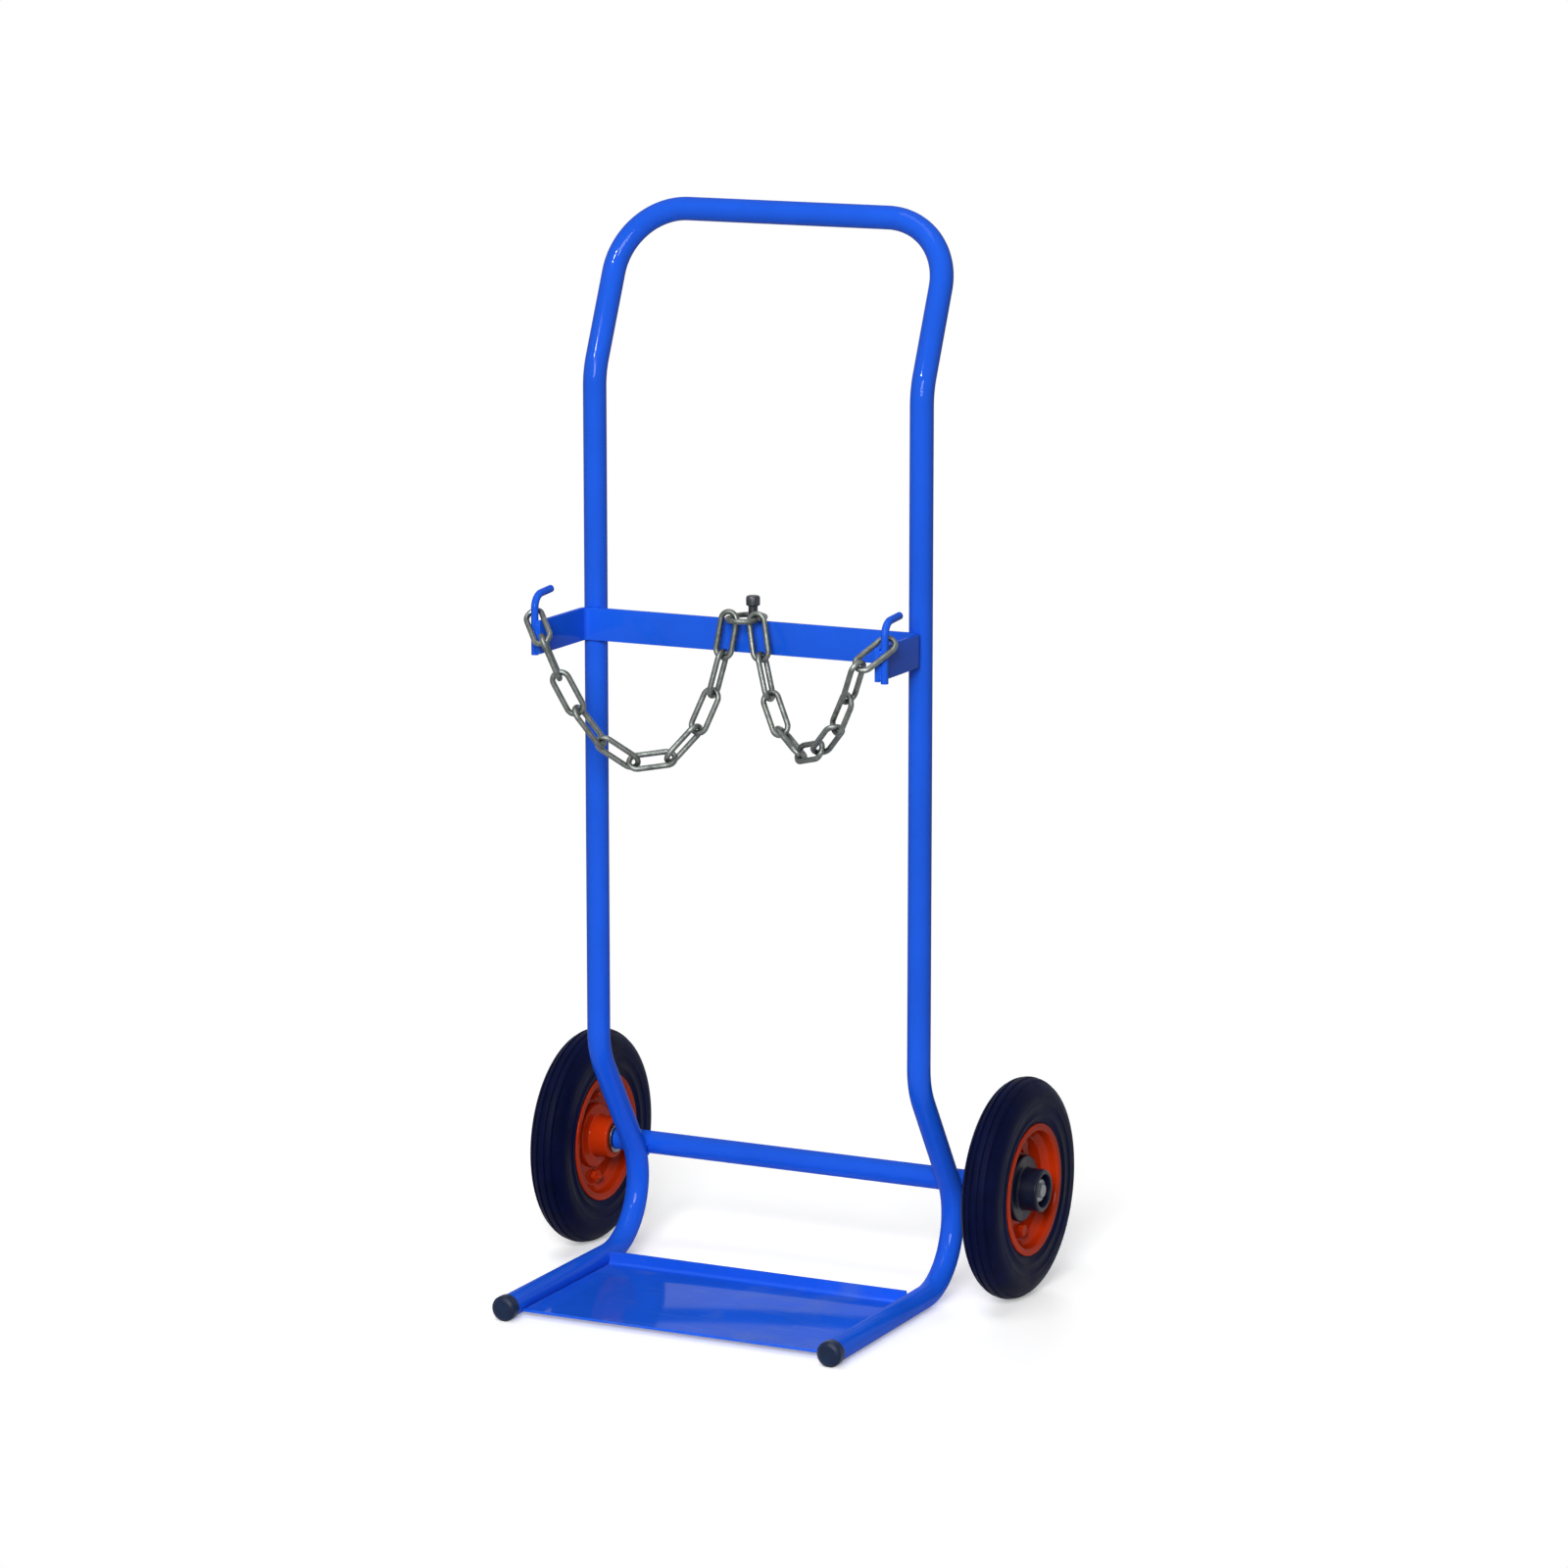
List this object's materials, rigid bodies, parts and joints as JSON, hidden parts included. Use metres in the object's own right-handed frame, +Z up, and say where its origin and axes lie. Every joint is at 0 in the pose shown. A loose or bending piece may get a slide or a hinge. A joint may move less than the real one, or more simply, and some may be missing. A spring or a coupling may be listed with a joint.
{
  "type": "gas cylinder trolley",
  "caption": "Upright gas cylinder trolley with a bent tube frame, toe plate, U-shaped flat bar bracket with hooks and safety chain, and rubber tyred wheels on a fixed axle.",
  "frame": {"origin": "on the ground under the middle of the trolley's box", "axes": "+Z up, -Y towards the toe plate, +X to the right when seen from the toe side"},
  "size_m": [0.578, 0.4528, 1.17],
  "materials": {
    "blue_paint": "gloss",
    "red_paint": "gloss",
    "tyre_rubber": "matte",
    "hub_plastic": "satin",
    "cap_plastic": "satin",
    "zinc_steel": "zinc plated",
    "chain_steel": "dull zinc",
    "bush_bronze": "plain"
  },
  "bodies": {
    "frame": {"frame_tube": "blue_paint", "left_toe_cap": "cap_plastic", "right_toe_cap": "cap_plastic", "toe_plate": "blue_paint", "axle_tube": "blue_paint", "axle_rod": "zinc_steel", "inner_washers": "zinc_steel", "outer_washers": "zinc_steel", "axle_nuts": "zinc_steel", "bracket": "blue_paint", "left_hook": "blue_paint", "right_hook": "blue_paint", "centre_pin": "chain_steel", "middle_ring": "chain_steel", "left_end_link": "chain_steel", "right_end_link": "chain_steel"},
    "left_wheel": {"left_tyre": "tyre_rubber", "left_outer_rim": "red_paint", "left_inner_rim": "red_paint", "left_rim_bolts": "zinc_steel", "left_rim_nuts": "zinc_steel", "left_outer_hub": "hub_plastic", "left_inner_hub": "red_paint", "left_bushes": "bush_bronze"},
    "right_wheel": {"right_tyre": "tyre_rubber", "right_outer_rim": "red_paint", "right_inner_rim": "red_paint", "right_rim_bolts": "zinc_steel", "right_rim_nuts": "zinc_steel", "right_outer_hub": "hub_plastic", "right_inner_hub": "red_paint", "right_bushes": "bush_bronze"},
    "left_run": {"left_chain": "chain_steel"},
    "right_run": {"right_chain": "chain_steel"}
  },
  "joints": [
    {"name": "left_wheel_spin", "type": "hinge", "parent": "frame", "child": "left_wheel", "pos_m": [-0.259, 0.10638, 0.12], "axis": [1, 0, 0], "continuous": true},
    {"name": "right_wheel_spin", "type": "hinge", "parent": "frame", "child": "right_wheel", "pos_m": [0.259, 0.10638, 0.12], "axis": [1, 0, 0], "continuous": true},
    {"name": "left_chain_swing", "type": "hinge", "parent": "frame", "child": "left_run", "pos_m": [-0.1801, -0.14059, 0.7185], "axis": [-0.8367, -0.5364, -0.1101], "range_deg": [-4, 20]},
    {"name": "right_chain_swing", "type": "hinge", "parent": "frame", "child": "right_run", "pos_m": [0.18476, -0.14457, 0.71885], "axis": [-0.8349, 0.5402, 0.1051], "range_deg": [-4, 20]}
  ]
}
